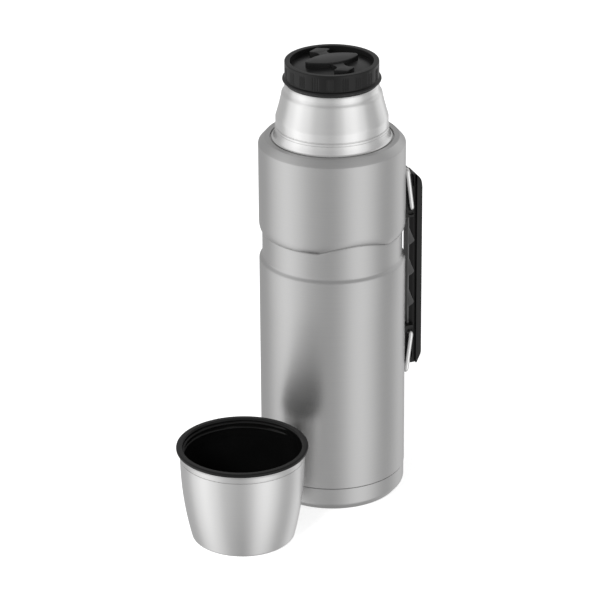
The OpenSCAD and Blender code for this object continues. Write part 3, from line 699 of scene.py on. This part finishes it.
def fin(z0):
    """A finger fin: its top slopes out and down to a tip, and its front is rounded below."""
    bm = bmesh.new()
    rows = []
    up, down, inner = 10.5, 5.5, 4.5
    for i in range(-12, 13):
        t = i / 12
        z = z0 + (t * up if t > 0 else t * down)
        k = (1 - t) ** 1.15 if t > 0 else 1 - (-t) ** 1.5
        w = inner - 0.3 + (HALF_W - inner + 0.3) * k
        ring = []
        tip = 59.3 + 2.8 * k
        shape = [(58.35, inner - 0.9), (58.5, inner - 0.3),
                 (58.5 + (tip - 58.5) * 0.45, inner + (w - inner) * 0.45),
                 (tip - 0.35, w - 0.1), (tip, w - 0.5), (tip, inner - 1.5)]
        for x, y in shape + [(x, -y) for x, y in reversed(shape)]:
            ring.append(bm.verts.new((x * MM, y * MM, z * MM)))
        rows.append(ring)
    for a, b in zip(rows, rows[1:]):
        for k in range(len(a)):
            n = (k + 1) % len(a)
            bm.faces.new([a[k], a[n], b[n], b[k]])
    bm.faces.new(rows[0])
    bm.faces.new(rows[-1])
    return finish_mesh("fin", bm, 50)


def end_blocks():
    """The grip's ends, which hold the crossbars, and the web between them."""
    lo = grip_lo[2]
    bar_lo, bar_hi = GRIP_Z - BAR_SPREAD, GRIP_Z + BAR_SPREAD
    top = [(IN_X, bar_hi - 6.4), (PART_X, bar_hi - 6.4)] + head_curve(IN_X, PART_X)
    bottom = [(IN_X, lo), (PART_X, lo), (PART_X, bar_lo + 6.4), (IN_X, bar_lo + 6.4)]
    blocks = []
    for outline, side in ((top, 1), (bottom, -1)):
        piece = prism("end_block", outline, -HALF_W, HALF_W)
        slot = 1.8
        z1 = GRIP_Z + side * BAR_SPREAD + slot
        z0 = GRIP_Z + side * BAR_SPREAD - slot - (19.5 if side < 0 else 0)
        hole = prism("cutter", [(BAR_X - slot, z0), (PART_X + 1, z0), (PART_X + 1, z1), (BAR_X - slot, z1)],
                     -14, 14)
        blocks.append(soften(carve(piece, pockets() + [hole]), 0.4, 3))
    web = prism("web", [(59.2, -4.3), (PART_X + 0.5, -6.4), (PART_X + 0.5, 6.4), (59.2, 4.3)],
                bar_lo + 6, bar_hi - 6, axis="z")
    return joined("grip_blocks", blocks + [web])


def grip_pad():
    """The grip's inner half: a spine with three finger fins."""
    low, high = GRIP_Z - BAR_SPREAD + 6, GRIP_Z + BAR_SPREAD - 6
    spine = prism("spine", [(58.3, low), (59.5, low), (59.5, high), (58.3, high)], -4.6, 4.6,
                  bevel=0.4, segments=3)
    return joined("grip_front", [spine] + [fin(GRIP_Z + i * RIDGE_PITCH) for i in (-1, 0, 1)])


# The pad's grey tone is partly its own dark plastic and partly painted light on its inner face and fins.
fit(grip_pad(), "grip", PAD_PAINTED_LIGHT, "pad_black", "grip_pad")
fit(end_blocks(), "grip", GRIP, "grip_black")


# ---------------------------------------------------------------- CAD bodies that stay as they are

KEPT = {
    "outer_bottom": BASE, "inner_vessel": INNER, "inner_neck": INNER, "radiation_foil": FOIL,
    "getter": GETTER, "vacuum_plug": GETTER,
    "grip_screws": SCREW, "stopper_plug": STOPPER, "stopper_foam": FOAM, "stopper_bottom": STOPPER,
    # The seals' near-black colour is painted shade in the gap under the stopper's flange.
    "stopper_seal_upper": SEAL_PAINTED_SHADE, "stopper_seal_lower": SEAL_PAINTED_SHADE,
}
for node, material in KEPT.items():
    dress(NODES[node], material)


# ---------------------------------------------------------------- floor, light and camera

def floor():
    bm = bmesh.new()
    bmesh.ops.create_grid(bm, x_segments=1, y_segments=1, size=3.0)
    piece = finish_mesh("floor", bm)
    s = Shader("floor_pale")
    cloud = s.noise((3, 3, 3), 1.0, 2.0)
    s.link(s.colours(cloud, [(0.3, grey(0.86)), (0.7, grey(0.9))]), s.bsdf.inputs["Base Color"])
    s.bsdf.inputs["Roughness"].default_value = 0.9
    s.bsdf.inputs["Specular IOR Level"].default_value = 0.1
    s.bsdf.inputs["Emission Color"].default_value = (1, 1, 1, 1)
    s.bsdf.inputs["Emission Strength"].default_value = 0.62
    dress(piece, s.material)
    piece.location.z = -0.0002
    piece.visible_glossy = False
    piece.visible_diffuse = False


floor()

STUDIO = [(-180, 0.50), (-150, 0.50), (-122, 0.52), (-98, 0.98), (-76, 1.24), (-56, 1.02), (-30, 0.66),
          (0, 0.52), (16, 0.70), (32, 1.06), (48, 1.16), (66, 0.92), (84, 0.54), (102, 0.50),
          (120, 0.78), (138, 0.92), (156, 0.58), (180, 0.50)]
STUDIO_TILT = [(-1, 0.6), (-0.8, 0.78), (-0.65, 1.0), (-0.35, 1.06), (0.0, 0.97), (0.3, 0.92), (1, 1.0)]
TOWARDS_CAMERA = math.radians(110.6)


def studio():
    world = bpy.data.worlds.new("studio")
    bpy.context.scene.world = world
    world.use_nodes = True
    nodes, links = world.node_tree.nodes, world.node_tree.links
    nodes.clear()

    def math_node(kind, a, b=None):
        made = nodes.new("ShaderNodeMath")
        made.operation = kind
        for socket, value in zip(made.inputs, (a, b)):
            if isinstance(value, (int, float)):
                socket.default_value = value
            elif value is not None:
                links.new(value, socket)
        return made.outputs[0]

    where = nodes.new("ShaderNodeTexCoord")
    split = nodes.new("ShaderNodeSeparateXYZ")
    links.new(where.outputs["Generated"], split.inputs[0])
    around = math_node("ARCTAN2", split.outputs["Y"], split.outputs["X"])
    turned = math_node("DIVIDE", math_node("ADD", around, TOWARDS_CAMERA + 3 * math.pi), 2 * math.pi)
    ramp = nodes.new("ShaderNodeValToRGB")
    ramp.color_ramp.interpolation = "EASE"
    for i, (degrees, value) in enumerate(STUDIO):
        at = (degrees + 180) / 360
        stop = ramp.color_ramp.elements[i] if i < 2 else ramp.color_ramp.elements.new(at)
        stop.position = at
        stop.color = (value / 2, value / 2, value / 2, 1)
    links.new(math_node("FRACT", turned), ramp.inputs["Fac"])
    sky = nodes.new("ShaderNodeMapRange")
    sky.interpolation_type = "SMOOTHSTEP"
    sky.inputs["From Min"].default_value = 0.5
    sky.inputs["From Max"].default_value = 0.9
    links.new(split.outputs["Z"], sky.inputs["Value"])
    blend = nodes.new("ShaderNodeMix")
    blend.data_type = "RGBA"
    links.new(sky.outputs["Result"], blend.inputs["Factor"])
    links.new(ramp.outputs["Color"], blend.inputs["A"])
    blend.inputs["B"].default_value = (0.2, 0.2, 0.2, 1)
    light = nodes.new("ShaderNodeBackground")
    links.new(blend.outputs["Result"], light.inputs["Color"])
    tilt = nodes.new("ShaderNodeValToRGB")
    for i, (height, value) in enumerate(STUDIO_TILT):
        at = (height + 1) / 2
        stop = tilt.color_ramp.elements[i] if i < 2 else tilt.color_ramp.elements.new(at)
        stop.position = at
        stop.color = (value / 2, value / 2, value / 2, 1)
    links.new(math_node("DIVIDE", math_node("ADD", split.outputs["Z"], 1.0), 2.0), tilt.inputs["Fac"])
    links.new(math_node("MULTIPLY", tilt.outputs["Color"], 4.0), light.inputs["Strength"])
    plain = nodes.new("ShaderNodeBackground")
    plain.inputs["Color"].default_value = (1, 1, 1, 1)
    ray = nodes.new("ShaderNodeLightPath")
    pick = nodes.new("ShaderNodeMixShader")
    out = nodes.new("ShaderNodeOutputWorld")
    links.new(ray.outputs["Is Camera Ray"], pick.inputs["Fac"])
    links.new(light.outputs[0], pick.inputs[1])
    links.new(plain.outputs[0], pick.inputs[2])
    links.new(pick.outputs[0], out.inputs["Surface"])


studio()


def fill_light():
    """A broad soft lamp high on the left of the camera; it isn't mirrored in the steel."""
    data = bpy.data.lights.new("fill", "AREA")
    data.shape, data.size, data.energy = "DISK", 0.7, 26.0
    lamp = bpy.data.objects.new("fill", data)
    bpy.context.scene.collection.objects.link(lamp)
    lamp.location = (-1.35, -1.15, 1.15)
    lamp.rotation_euler = (Vector((0, 0, 0.15)) - lamp.location).to_track_quat("-Z", "Y").to_euler()
    lamp.visible_glossy = False


fill_light()


def camera():
    """The camera of the first view."""
    data = bpy.data.cameras.new("camera")
    data.lens, data.sensor_width = 200.44, 36.0
    data.clip_end = 50
    eye = bpy.data.objects.new("camera", data)
    bpy.context.scene.collection.objects.link(eye)
    place = Vector((-0.797995, -2.123032, 1.171231))
    ahead = Vector((0.311708, 0.856851, -0.410664)).normalized()
    right = Vector((0.938763, -0.344507, -0.006262)).normalized()
    up = right.cross(ahead).normalized()
    eye.matrix_world = Matrix.Translation(place) @ Matrix((right, up, -ahead)).transposed().to_4x4()
    bpy.context.scene.camera = eye


camera()
bpy.context.scene.view_settings.view_transform = "Standard"
